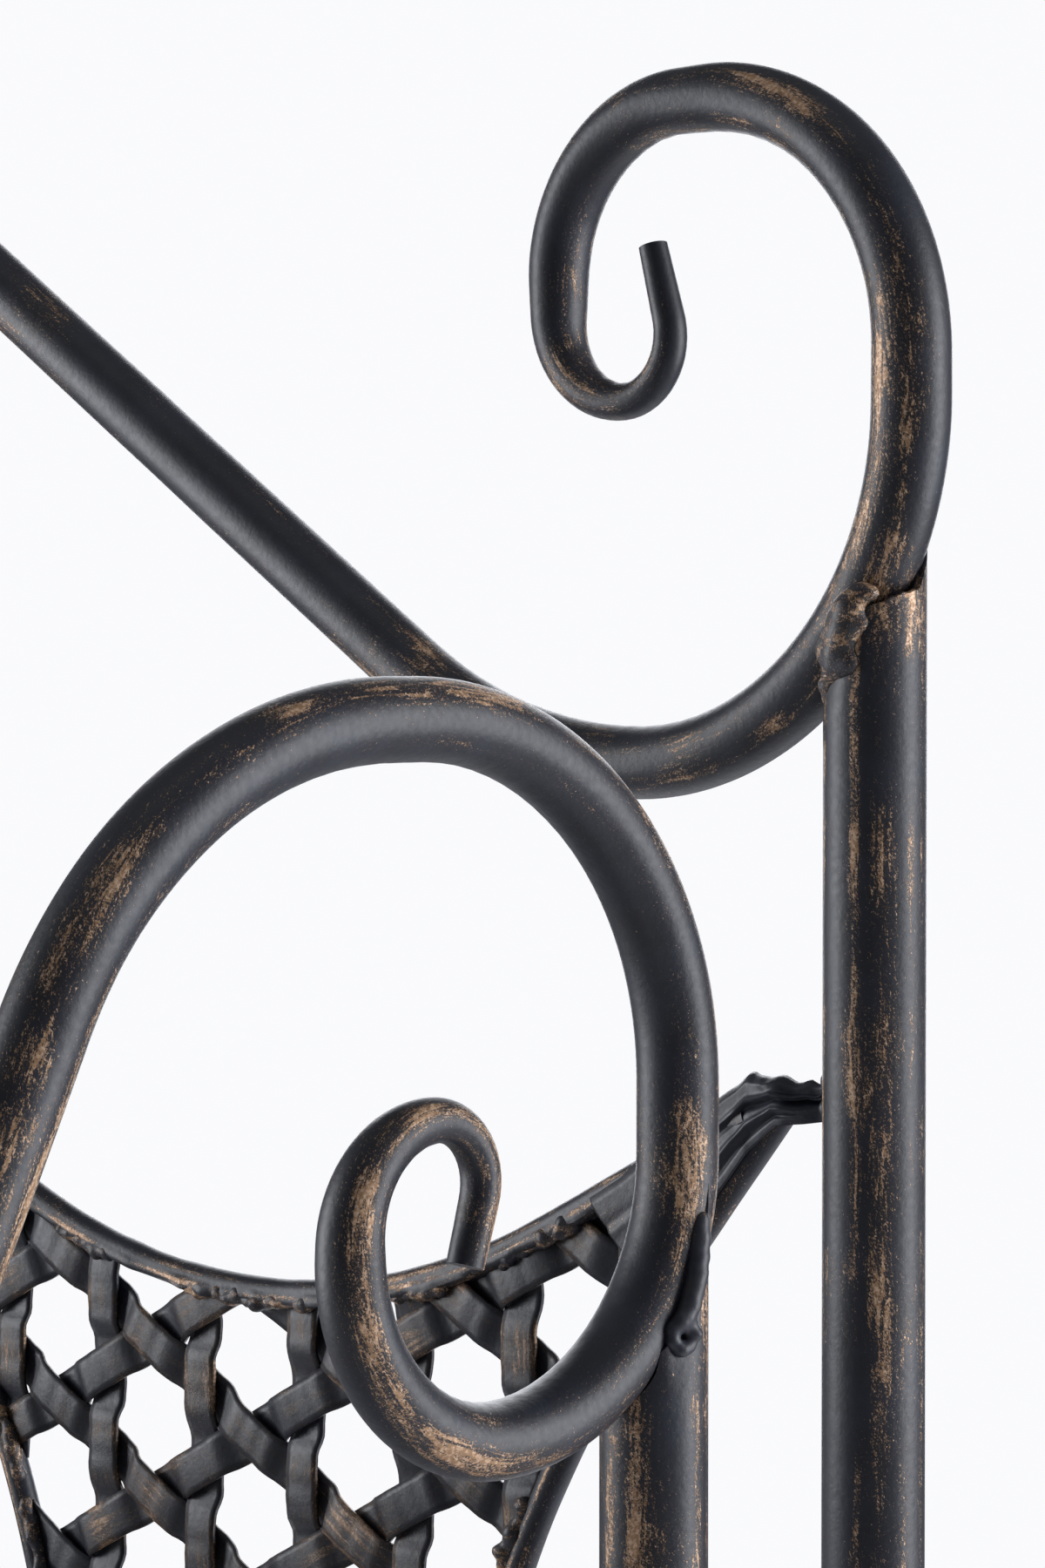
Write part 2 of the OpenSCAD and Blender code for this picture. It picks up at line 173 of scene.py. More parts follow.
def drift(t, wave, seed):
    """Slow random wander between 0 and 1 along t, the same on each run."""
    t = np.asarray(t, dtype=float)
    rng = np.random.default_rng(seed)
    first = math.floor(t.min() / wave) - 1
    knots = rng.random(int((t.max() - t.min()) / wave) + 5)
    place = t / wave - first
    i = np.floor(place).astype(int)
    f = place - i
    f = f * f * (3 - 2 * f)
    return knots[i] * (1 - f) + knots[i + 1] * f


def smoothed(values, width):
    """Running mean over an odd number of neighbours."""
    padded = np.pad(values, width, mode="edge")
    return np.convolve(padded, np.ones(width) / width, mode="same")[width:-width]


# ---- Making meshes ----


def deselect():
    for o in bpy.context.selected_objects:
        o.select_set(False)


def own(name):
    """Names the active object and its mesh."""
    o = bpy.context.object
    o.name = name
    o.data.name = name
    return o


def edit_all(o):
    """Opens a piece in edit mode with all of it selected."""
    deselect()
    o.select_set(True)
    bpy.context.view_layer.objects.active = o
    bpy.ops.object.mode_set(mode="EDIT")
    bpy.ops.mesh.select_all(action="SELECT")


def pick(o, kind, wanted):
    """Selects in edit mode the verts, edges or faces for which wanted(element) is true."""
    bpy.ops.mesh.select_mode(type={"verts": "VERT", "edges": "EDGE", "faces": "FACE"}[kind])
    bpy.ops.mesh.select_all(action="DESELECT")
    shell = bmesh.from_edit_mesh(o.data)
    for element in getattr(shell, kind):
        if wanted(element):
            element.select = True
    shell.select_flush_mode()
    bmesh.update_edit_mesh(o.data)


def wrapped(name, nu, nv, place, size_uv, rub, closed=False, ends=False, mirror=False):
    """A grid of nu by nv faces laid on a shape. place(u, v) gives points in millimetres for arrays
    u and v from 0 to 1, and rub(u, v) how much bronze is on them. closed joins v's two edges, ends
    closes both ends of the tube, and mirror turns a closed shape over to the left side."""
    deselect()
    bpy.ops.mesh.primitive_grid_add(x_subdivisions=nu, y_subdivisions=nv, size=2)
    o = own(name)
    mesh = o.data
    co = np.empty(len(mesh.vertices) * 3)
    mesh.vertices.foreach_get("co", co)
    co = co.reshape(-1, 3)
    u, v = (co[:, 0] + 1) / 2, (co[:, 1] + 1) / 2
    points = place(u, v) * MM
    if mirror:
        points[:, 0] *= -1
    mesh.vertices.foreach_set("co", points.ravel())
    layer = mesh.uv_layers[0]
    layer.name = "Grain"
    uv = np.empty(len(mesh.loops) * 2)
    layer.data.foreach_get("uv", uv)
    uv = uv.reshape(-1, 2) * np.array(size_uv) * MM
    layer.data.foreach_set("uv", uv.ravel())
    worn = mesh.attributes.new("rub", "FLOAT", "POINT")
    worn.data.foreach_set("value", rub(u, v))
    mesh.update()
    if closed or ends:
        edit_all(o)
        if closed:
            bpy.ops.mesh.remove_doubles(threshold=1e-6)
        if ends:
            bpy.ops.mesh.select_all(action="DESELECT")
            bpy.ops.mesh.select_mode(type="EDGE")
            bpy.ops.mesh.select_non_manifold()
            bpy.ops.mesh.fill_holes(sides=0)
        bpy.ops.mesh.select_all(action="SELECT")
        bpy.ops.mesh.normals_make_consistent(inside=False)
        bpy.ops.object.mode_set(mode="OBJECT")
    bpy.ops.object.shade_smooth_by_angle(angle=math.radians(40))
    return o


def modified(o, kind, **settings):
    """Adds a modifier, sets it and applies it."""
    deselect()
    o.select_set(True)
    bpy.context.view_layer.objects.active = o
    m = o.modifiers.new(kind, kind)
    for key, value in settings.items():
        setattr(m, key, value)
    bpy.ops.object.modifier_apply(modifier=m.name)
    return o


def joined(objects, name):
    deselect()
    for o in objects:
        o.select_set(True)
    bpy.context.view_layer.objects.active = objects[0]
    if len(objects) > 1:
        bpy.ops.object.join()
    return own(name)


def finished(o, material, slot, *nodes):
    """Gives a piece its material, hangs it under the root body and hides the CAD nodes that it
    stands for. slot is not used.
    """
    o.data.materials.clear()
    o.data.materials.append(material)
    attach(o, "root")
    if nodes:
        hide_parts(*nodes)
    return o


# ---- Materials ----

CHARCOAL = (0.0074, 0.0080, 0.0128)
SLATE = (0.0120, 0.0140, 0.0230)
WELD_GREY = (0.0300, 0.0310, 0.0360)
UMBER = (0.0300, 0.0180, 0.0120)
BRONZE = (0.27, 0.160, 0.088)
PALE_BRONZE = (0.50, 0.345, 0.235)
RUBBER = (0.014, 0.014, 0.015)
DUSTY_RUBBER = (0.028, 0.027, 0.026)
# Angle in radians between the flecks and the tube's own length.
BRUSH_SKEW = 0.42


class Nodes:
    """Short way to add and link a material's nodes."""

    def __init__(self, name):
        self.material = bpy.data.materials.new(name)
        self.material.use_nodes = True
        self.tree = self.material.node_tree
        self.shader = self.tree.nodes["Principled BSDF"]
        self.flat = self.add("ShaderNodeTexCoord").outputs["Object"]

    def add(self, kind, **settings):
        node = self.tree.nodes.new(kind)
        for key, value in settings.items():
            setattr(node, key, value)
        return node

    def link(self, a, b):
        self.tree.links.new(a, b)

    def value(self, operation, a, b=None, c=None, clamp=False):
        node = self.add("ShaderNodeMath", operation=operation, use_clamp=clamp)
        for i, x in enumerate((a, b, c)):
            if x is None:
                continue
            if isinstance(x, (int, float)):
                node.inputs[i].default_value = x
            else:
                self.link(x, node.inputs[i])
        return node.outputs[0]

    def stretched(self, vector, scale):
        node = self.add("ShaderNodeMapping")
        node.inputs["Scale"].default_value = scale
        self.link(vector, node.inputs["Vector"])
        return node.outputs[0]

    def noise(self, vector, scale, detail=3.0, rough=0.55, warp=0.0):
        node = self.add("ShaderNodeTexNoise")
        node.inputs["Scale"].default_value = scale
        node.inputs["Detail"].default_value = detail
        node.inputs["Roughness"].default_value = rough
        node.inputs["Distortion"].default_value = warp
        self.link(vector, node.inputs["Vector"])
        return node.outputs["Fac"]

    def blend(self, share, a, b):
        node = self.add("ShaderNodeMix", data_type="RGBA")
        for socket, x in ((node.inputs[0], share), (node.inputs[6], a), (node.inputs[7], b)):
            if isinstance(x, tuple):
                socket.default_value = (*x, 1)
            elif isinstance(x, (int, float)):
                socket.default_value = x
            else:
                self.link(x, socket)
        return node.outputs[2]

    def ramp(self, value, low, high):
        node = self.add("ShaderNodeMapRange", interpolation_type="SMOOTHSTEP")
        node.inputs["From Min"].default_value = low
        node.inputs["From Max"].default_value = high
        self.link(value, node.inputs["Value"])
        return node.outputs[0]

    def bump(self, height, distance):
        node = self.add("ShaderNodeBump")
        node.inputs["Strength"].default_value = 0.2
        node.inputs["Distance"].default_value = distance
        self.link(height, node.inputs["Height"])
        self.link(node.outputs[0], self.shader.inputs["Normal"])


def rubbed_paint(m, grain, rub, haze=1.0, lift=0.0, soft=0.07, bite=1.0, body=(CHARCOAL, SLATE)):
    """Satin paint with bronze rubbed over it. grain is a vector in metres whose first axis follows
    the rubbing, and rub is the socket that says how much there is. haze is the brown round the
    flecks, lift adds rub, soft blurs the flecks, bite is how far they cover, and body is the two
    colours of the paint."""
    flat = m.flat
    cloud = m.noise(flat, 38.0, 3.0, 0.6)
    patch = m.ramp(m.noise(flat, 24.0, 3.0, 0.55), 0.46, 0.66)
    worn = m.value("MULTIPLY_ADD", patch, 0.34, m.value("ADD", rub, lift))
    level = m.value("MULTIPLY", worn, m.value("MULTIPLY_ADD", cloud, 2.4, -0.25))
    skew = m.add("ShaderNodeVectorRotate")
    skew.inputs["Axis"].default_value = (0, 0, 1)
    skew.inputs["Angle"].default_value = BRUSH_SKEW
    m.link(grain, skew.inputs["Vector"])
    lane = m.ramp(m.noise(m.stretched(grain, (55.0, 420.0, 420.0)), 1.0, 3.0, 0.6, 1.2), 0.44, 0.66)
    level = m.value("MULTIPLY", level, m.value("MULTIPLY_ADD", lane, 0.75, 0.55))
    dash = m.noise(m.stretched(skew.outputs[0], (820.0, 2300.0, 2300.0)), 1.0, 4.0, 0.7, 1.4)
    speck = m.noise(flat, 1900.0, 4.0, 0.7)
    raw = m.value("MULTIPLY_ADD", speck, 0.42, m.value("MULTIPLY", dash, 0.58))
    fleck = m.ramp(m.value("ADD", raw, m.value("MULTIPLY_ADD", level, 0.225, -0.632)), 0.0, soft)
    fleck = m.value("MULTIPLY", fleck, bite)
    dust = m.ramp(m.value("ADD", raw, m.value("MULTIPLY_ADD", level, 0.36, -0.62)), -0.03, 0.16)
    base = m.blend(m.ramp(m.noise(flat, 60.0, 4.0, 0.6), 0.35, 0.7), *body)
    base = m.blend(m.value("MULTIPLY", dust, 0.8 * haze, clamp=True), base, UMBER)
    metal = m.blend(m.ramp(m.noise(flat, 1100.0, 2.0, 0.5), 0.42, 0.66), BRONZE, PALE_BRONZE)
    m.link(m.blend(fleck, base, metal), m.shader.inputs["Base Color"])
    m.link(m.value("MULTIPLY", fleck, 0.35), m.shader.inputs["Metallic"])
    peel = m.noise(flat, 620.0, 3.0, 0.55)
    rough = m.value("MULTIPLY_ADD", peel, 0.16, 0.39)
    m.link(m.value("MULTIPLY_ADD", fleck, 0.06, rough), m.shader.inputs["Roughness"])
    m.shader.inputs["IOR"].default_value = 1.42
    m.bump(m.value("MULTIPLY_ADD", fleck, 0.6, peel), 0.0005)
    return m.material


def grained_paint(name, **settings):
    """Rubbed paint whose flecks follow the piece's length, by its Grain map and rub attribute."""
    m = Nodes(name)
    grain = m.add("ShaderNodeUVMap", uv_map="Grain").outputs[0]
    rub = m.add("ShaderNodeAttribute", attribute_name="rub").outputs["Fac"]
    return rubbed_paint(m, grain, rub, **settings)


def lump_paint(name):
    """Rubbed paint without a direction, for weld metal."""
    m = Nodes(name)
    rub = m.add("ShaderNodeAttribute", attribute_name="rub").outputs["Fac"]
    grain = m.stretched(m.flat, (1.8, 0.7, 0.7))
    return rubbed_paint(m, grain, rub, soft=0.10, body=(SLATE, WELD_GREY))


def straight_tube_paint(name, axis):
    """Rubbed paint for straight tubes along axis 0, 1 or 2, rubbed along their length."""
    m = Nodes(name)
    order = m.add("ShaderNodeCombineXYZ")
    apart = m.add("ShaderNodeSeparateXYZ")
    m.link(m.flat, apart.inputs[0])
    for i in range(3):
        m.link(apart.outputs[(axis + i) % 3], order.inputs[i])
    rub = m.ramp(m.noise(m.flat, 9.0, 2.0), 0.2, 1.0)
    return rubbed_paint(m, order.outputs[0], rub)


def plain_rubber(name):
    m = Nodes(name)
    cloud = m.ramp(m.noise(m.flat, 120.0, 4.0, 0.6), 0.3, 0.75)
    m.link(m.blend(cloud, RUBBER, DUSTY_RUBBER), m.shader.inputs["Base Color"])
    fine = m.noise(m.flat, 2600.0, 2.0, 0.6)
    m.link(m.value("MULTIPLY_ADD", fine, 0.2, 0.6), m.shader.inputs["Roughness"])
    m.bump(fine, 0.0003)
    return m.material


tube_paint = grained_paint("tube_paint")
strip_paint = grained_paint("strip_paint", haze=1.8, lift=0.08, soft=0.20, bite=0.62)
weld_paint = lump_paint("weld_paint")
rubber = plain_rubber("foot_rubber")

# ---- Bent tubes ----

SIDES = 44


def plane_points(x, y, plane):
    """Points of a drawing plane in the bench's frame: its origin, x direction and y direction."""
    origin, ux, uy = plane
    return origin + np.outer(x, ux) + np.outer(y, uy)


def swept(name, rows, radius, plane, length, rub, seed, squash=0.06, mirror=False, extra=None):
    """Tube along rows of x, y, heading and bend. It is a little uneven, and squash is how much it
    is squeezed where it bends. extra(t, angle) adds millimetres to its radius."""
    n = len(rows) - 1
    origin, ux, uy = (np.array(a, dtype=float) for a in plane)
    uw = np.cross(ux, uy)
    stops = np.linspace(0, length, n + 1)
    uneven = drift(stops, 23.0, seed) - 0.5
    uneven_side = drift(stops, 31.0, seed + 7) - 0.5
    bend = smoothed(rows[:, 3], 15)
    wrinkle = np.sin(stops * 2 * np.pi / 7.5) * drift(stops, 17.0, seed + 9)

    def place(u, v):
        i = np.rint(u * n).astype(int)
        a = v * 2 * np.pi
        x, y, h, _ = rows[i].T
        r = radius[i] + (0 if extra is None else extra(u * length, v * 360.0))
        squeeze = np.clip(np.abs(bend[i]) * 45, 0, 1) * squash
        inside = np.clip(np.sign(bend[i]) * np.cos(a), 0, 1)
        r_n = r * (1 - squeeze * (0.5 + 0.7 * inside) + 0.012 * uneven[i])
        r_n = r_n + 0.9 * squeeze / 0.06 * inside**3 * wrinkle[i] * 0.12
        r_w = r * (1 + 0.4 * squeeze + 0.012 * uneven_side[i])
        out_n, out_w = r_n * np.cos(a), r_w * np.sin(a)
        points = plane_points(x - out_n * np.sin(h), y + out_n * np.cos(h), (origin, ux, uy))
        return points + np.outer(out_w, uw)

    around = 2 * np.pi * radius.max()
    return wrapped(
        name, n, SIDES, place, (length, around), lambda u, v: rub(u * length, v * 360.0),
        closed=True, ends=True, mirror=mirror,
    )


def band(angle, centre, half_width):
    """1 at the centre angle, in degrees, falling to 0 half a width away."""
    off = np.abs((angle - centre + 180) % 360 - 180)
    return np.clip(1 - off / half_width, 0, 1) ** 1.2


def drawn_radius(stops, places, radii):
    """Radius of a drawn-down tube: eased between given places along it."""
    fine = np.interp(stops, places, radii)
    return smoothed(fine, 9)


def mirrored_rows(behind, ahead):
    """One list of rows from a half that is turned over to -x and a half towards +x."""
    turned = behind[:0:-1].copy()
    turned[:, 0] *= -1
    turned[:, 2] *= -1
    return np.vstack([turned, ahead])


def make_top_rail():
    total = route_length(RAIL_STEPS)
    side = route_length(RAIL_STEPS[:4])
    stops = np.linspace(0, total, int(total / 2))
    half = route_places(RAIL_STEPS, stops)
    radius = drawn_radius(
        stops - side,
        [-60, 0, 60, 114, 150, 189, 204, 218, 233, 255, 270, 282],
        [9.5, 9.8, 9.4, 8.7, 8.3, 7.9, 7.0, 6.0, 4.9, 4.4, 4.1, 3.6],
    )
    rows = mirrored_rows(half, half)
    both = np.concatenate([radius[:0:-1], radius])
    plane = ((0, BACK_Y, CREST_Z), (1, 0, 0), (0, 0, 1))

    def near(s, centre, spread):
        return np.exp(-(((s - side - centre) / spread) ** 2))

    def rub(t, angle):
        s = np.abs(t - total)
        patch = 0.35 + drift(s, 24, 11) * 0.6
        broken = np.clip(drift(s, 13, 12) * 1.8 - 0.45, 0, 1)
        rise = near(s, -15, 34)
        crown = near(s, 78, 36)
        low = near(s, -100, 55)
        # The flat cheek that faces forward, then the ridges of the outside and the inside.
        cheek = band(angle, 78, 26) * (1.1 * rise + 0.55 * crown * broken + 1.0 * low * patch)
        outer = band(angle, 128, 34) * (0.45 * rise * patch + 1.35 * crown * patch + 0.6 * low)
        inner = band(angle, 48, 16) * (0.75 * crown * patch + 0.4 * near(s, 20, 60) * broken)
        tail = band(angle, 80, 40) * np.clip((s - side - 190) / 30, 0, 1) * 0.6 * broken
        run = band(angle, 120, 30) * 0.35 * broken + band(angle, 20, 30) * 0.3 * broken
        away = band(angle, 270, 70) * 0.35 * patch
        return np.clip(0.08 + cheek + outer + inner + tail + run + away, 0, 1.25)

    o = swept("top_rail_tube", rows, both, plane, 2 * total, rub, 3)
    return finished(o, tube_paint, "tube", "top_rail")


def make_arm(side, mirror):
    leg_total, scroll_total = route_length(LEG_STEPS), route_length(ARM_STEPS)
    leg_stops = np.linspace(0, leg_total, int(leg_total / 2.5))
    scroll_stops = np.linspace(0, scroll_total, int(scroll_total / 2.0))
    leg = route_places(LEG_STEPS, leg_stops)
    scroll = route_places(ARM_STEPS, scroll_stops)
    radius = drawn_radius(
        scroll_stops,
        [0, 200, 248, 285, 319, 340, 360, 376, 390, 407],
        [9.5, 9.5, 9.2, 8.5, 7.7, 6.6, 5.3, 4.7, 4.5, 4.1],
    )
    rows = mirrored_rows(leg, scroll)
    both = np.concatenate([np.full(len(leg) - 1, RAIL_R), radius])
    plane = ((POST_X, ARM_Y - ARM_CREST_D, ARM_TOP_Z), (0, 1, 0), (0, 0, 1))
    joint = np.linspace(0, 1, len(rows)) * (leg_total + scroll_total)
    true_t = np.concatenate([leg_total - leg_stops[:0:-1], leg_total + scroll_stops])

    def rub(t, angle):
        s = np.interp(t, joint, true_t) - leg_total
        patch = 0.3 + drift(s, 26, 21) * 0.7
        broken = np.clip(drift(s, 11, 22) * 1.8 - 0.4, 0, 1)
        back = np.clip((s - 60) / 120, 0, 1)
        shin = np.clip((-s - 40) / 90, 0, 1)
        # Angle 90 is the cheek away from the bench, and 0 the outside of the arm's bends.
        cheek = band(angle, 62, 34) * (0.55 * patch + 0.5 * back * patch)
        crown = band(angle, 34, 34) * 0.75 * (0.4 + 0.6 * broken) * (1 - 0.5 * back)
        lower = band(angle, 122, 26) * (0.35 + 0.5 * shin) * patch
        flank = band(angle, 48, 30) * np.exp(-(((s - 125) / 60) ** 2)) * 0.85 * patch
        away = band(angle, 270, 70) * 0.4 * patch
        coil = np.clip((s - 215) / 60, 0, 1) * band(angle, 60, 55) * 0.42 * patch
        cradle = np.exp(-(((s - 178) / 48) ** 2)) * band(angle, 114, 36) * 1.0 * patch
        return np.clip(0.10 + cheek + crown + lower + flank + away + coil + cradle, 0, 1.2)

    name = "arm_tube_" + side
    o = swept(name, rows, both, plane, leg_total + scroll_total, rub, 5, mirror=mirror)
    return finished(o, tube_paint, "tube", "arm_" + side)


# ---- Posts, cut at the top round the tube that rests on them ----

CRADLE_D = ARM_CREST_D - 8 - SHOULDER_BEND + CRADLE_BEND
CRADLE_Z = ARM_TOP_Z - SHOULDER_BEND - ARM_DROP


def back_rim(angle):
    """Height of a back post's cut rim, by angle in degrees from the outer side of the bench."""
    around = [-180, -136, -110, -90, -60, -21, 8, 22, 44, 70, 90, 135, 180]
    height = [16.5, 20, 25, 32, 38.5, 41.5, 43.0, 47, 53, 45, 35, 23, 16.5]
    turned = (angle + 180) % 360 - 180
    ragged = 0.8 * (drift(turned + 180, 7.0, 33) - 0.5) + 0.5 * (drift(turned + 180, 2.6, 34) - 0.5)
    return TROUGH_Z + np.interp(turned, around, height) + ragged


def arm_rim(angle):
    """Height of an arm post's rim: it rises beside the arm to half the arm's thickness."""
    a = np.radians(angle)
    across = np.minimum(np.abs(POST_R * np.cos(a)), RAIL_R)
    ahead = CRADLE_D + POST_R * np.sin(a)
    reach = CRADLE_BEND + np.sqrt(RAIL_R**2 - across**2)
    return CRADLE_Z - np.sqrt(np.clip(reach**2 - ahead**2, 4, None)) - 3.0 * (across / RAIL_R) ** 6


def make_post(name, x, y, low, rim, rim_radius, lines, mirror, node):
    """Hollow post from low to its rim. rim and rim_radius give the cut edge by angle."""
    wall_rows, top_rows, in_rows = 110, 12, 10
    n = wall_rows + top_rows + 3 + in_rows
    bottom = rim(np.arange(360)).min() - 9

    def place(u, v):
        i = np.rint(u * n).astype(int)
        angle = v * 360.0
        a = np.radians(angle)
        edge_z, edge_r = rim(angle), rim_radius(angle)
        f = np.clip(i / wall_rows, 0, 1)
        g = np.clip((i - wall_rows) / top_rows, 0, 1)
        turn = np.clip((i - wall_rows - top_rows) / 3, 0, 1)
        down = np.clip((i - wall_rows - top_rows - 3) / in_rows, 0, 1)
        r = POST_R + (edge_r - POST_R) * g**2.5
        z = low + (bottom - low) * f + (edge_z - bottom) * g + 0.35 * np.sin(np.pi * turn)
        r = r - WALL * turn
        r = r + (POST_R - WALL - r) * np.clip(down * 2, 0, 1) * (down > 0)
        z = z + (bottom - 6 - z) * down
        return np.stack([x + r * np.cos(a), y + r * np.sin(a), z], axis=1)

    def rub(u, v):
        t = u * (bottom - low) * n / wall_rows
        angle = v * 360.0
        total = np.full(len(u), 0.12)
        for k, (centre, width, strength) in enumerate(lines):
            wander = (drift(t, 90, 40 + k) - 0.5) * 14
            on = np.clip(drift(t, 55, 60 + k) * 2.2 - 0.3, 0, 1)
            total += band(angle + wander, centre, width) * strength * on * 1.1
        return np.clip(total, 0, 1.2)

    o = wrapped(
        name, n, 80, place, (bottom - low + 60, 2 * np.pi * POST_R), rub,
        closed=True, ends=True, mirror=mirror,
    )
    return finished(o, tube_paint, "tube", node)


def make_posts():
    back_lines = [
        (-72, 11, 0.8), (-42, 24, 0.45), (-10, 12, 1.1), (14, 10, 0.8), (70, 14, 0.6),
        (120, 12, 0.8), (175, 12, 0.7), (-130, 12, 0.6),
    ]
    arm_lines = [
        (-95, 13, 0.8), (-70, 26, 0.6), (-30, 12, 0.4), (0, 16, 0.8), (28, 12, 0.8), (100, 14, 0.7),
        (180, 16, 0.7), (-150, 12, 0.6),
    ]

    def back_edge(angle):
        return POST_R - 1.3 * band(angle, -105, 60)

    def arm_edge(angle):
        side = np.abs(np.cos(np.radians(angle)))
        return np.minimum(POST_R, (RAIL_R + 1.0) / np.maximum(side, 0.05))

    for side, mirror in (("right", False), ("left", True)):
        make_post(
            "back_post_tube_" + side, POST_X, BACK_Y, CAP_BASE, back_rim, back_edge, back_lines,
            mirror, "back_post_" + side,
        )
        make_post(
            "arm_post_tube_" + side, POST_X, ARM_Y, SEAT_Z + 8.0, arm_rim, arm_edge, arm_lines,
            mirror, "arm_post_" + side,
        )


# ---- Woven strip ----


def inside_spans(outline, start, direction):
    """Spans of a line inside an outline of (x, y, bar radius) corners. Each end is its distance
    along the line, the bar's unit direction there and the bar's radius."""
    hits = []
    normal = (-direction[1], direction[0])
    for i, (x0, y0, bar) in enumerate(outline):
        x1, y1, _ = outline[(i + 1) % len(outline)]
        d0 = (x0 - start[0]) * normal[0] + (y0 - start[1]) * normal[1]
        d1 = (x1 - start[0]) * normal[0] + (y1 - start[1]) * normal[1]
        if (d0 > 0) == (d1 > 0):
            continue
        f = d0 / (d0 - d1)
        px, py = x0 + f * (x1 - x0), y0 + f * (y1 - y0)
        along = (px - start[0]) * direction[0] + (py - start[1]) * direction[1]
        size = math.hypot(x1 - x0, y1 - y0)
        hits.append((along, ((x1 - x0) / size, (y1 - y0) / size), bar))
    hits.sort()
    return [(hits[i], hits[i + 1]) for i in range(0, len(hits) - 1, 2)]


def strip_end(end, direction):
    """How a strip meets a bar: distance along the strip, how much it stops short, and its skew."""
    along, tangent, bar = end
    run = tangent[0] * direction[0] + tangent[1] * direction[1]
    rise = -tangent[0] * direction[1] + tangent[1] * direction[0]
    rise = math.copysign(max(abs(rise), 0.35), rise)
    return along, max(bar - 1.2, 0.0) / abs(rise), max(-1.3, min(1.3, run / rise))


def make_strip(start, direction, span, wave, phase, to_world, seed, fine):
    """One strip between two bars, in rows fine millimetres apart. It passes over and under its
    neighbours and is furthest forward at phase, once a wave."""
    rng = np.random.default_rng(seed)
    a0, short0, skew0 = strip_end(span[0], direction)
    a1, short1, skew1 = strip_end(span[1], direction)
    first, last = a0 + short0, a1 - short1
    total = last - first
    if total < 5:
        return None
    n, m = max(4, int(total / fine)), 6
    side, turn = rng.normal(0, 0.25), rng.normal(0, 0.004)
    ripple, lean = rng.uniform(0, 6.28), rng.normal(0, 0.14)

    def place(u, v):
        across = 2 * v - 1
        w = across * STRIP_W / 2
        at = first + u * total
        near0 = np.clip(1 - (at - first) / STRIP_END, 0, 1) ** 2
        near1 = np.clip(1 - (last - at) / STRIP_END, 0, 1) ** 2
        swing = np.tanh(STRIP_BEND * np.cos(2 * np.pi * (at - phase) / wave))
        lift = RELIEF * swing / math.tanh(STRIP_BEND)
        over = np.clip(lift / RELIEF, 0, 1)
        lift = lift * (1 - near0) * (1 - near1) + 0.6 * (near0 + near1)
        cup = -0.32 * across**2 * (0.35 + 0.65 * over)
        cup = cup + 0.18 * np.sin(at * 0.23 + ripple) * across
        out = lift + cup + lean * across + 0.12 * np.sin(at * 0.9 + ripple)
        place_at = at + w * (skew0 * near0 + skew1 * near1)
        off = w * (1 - 0.05 * over) + side + turn * (at - first) * 0.3
        x = start[0] + place_at * direction[0] - off * direction[1]
        y = start[1] + place_at * direction[1] + off * direction[0]
        return to_world(x, y, out)

    def rub(u, v):
        at = first + u * total
        edge = np.clip(np.abs(2 * v - 1) * 4 - 3.1, 0, 1)
        high = np.clip(np.cos(2 * np.pi * (at - phase) / wave), 0, 1)
        ends = np.clip(1 - (at - first) / 7, 0, 1) + np.clip(1 - (last - at) / 7, 0, 1)
        cloud = np.clip(drift(at, 9, seed + 500) * 1.6 - 0.3, 0, 1)
        return np.clip(0.08 + 0.12 * edge + 0.85 * high * cloud + 0.5 * ends * cloud, 0, 1.1)

    o = wrapped("strip", n, m, place, (total, STRIP_W), rub)
    modified(o, "SOLIDIFY", thickness=STRIP_T * MM, offset=0.0)
    return o


def weave_spans(outline, slant, half_w, half_h):
    """Every strip of one direction: its line, its span and the seed of its small unevenness."""
    for k, (start, direction, wave, phase) in enumerate(weave_lines(slant, half_w, half_h)):
        for span in inside_spans(outline, start, direction):
            yield start, direction, span, wave, phase, 1000 + 40 * k + 7 * slant


def weave_lines(slant, half_w, half_h):
    """Middle lines of one set of strips about a hole: start, direction, wave length and where on
    the line the strip is furthest forward."""
    if slant == 0:
        count = int(half_w / WEAVE_X) + 1
        for i in range(-count, count):
            x = (i + 0.5) * WEAVE_X
            crossing = WEAVE_Z / 2 + x * WEAVE_Z / 2 / WEAVE_X
            yield (x, 0.0), (0.0, 1.0), WEAVE_Z, crossing + WEAVE_Z / 2
        return
    tilt = math.atan(slant * WEAVE_Z / 2 / WEAVE_X)
    count = int((half_h + half_w * abs(math.tan(tilt))) / WEAVE_Z) + 1
    stretch = 1 / math.cos(tilt)
    forward_x = WEAVE_X / 2 if slant > 0 else 0.0
    for i in range(-count, count):
        yield (
            (0.0, (i + 0.5) * WEAVE_Z),
            (math.cos(tilt), math.sin(tilt)),
            WEAVE_X * stretch,
            forward_x * stretch,
        )


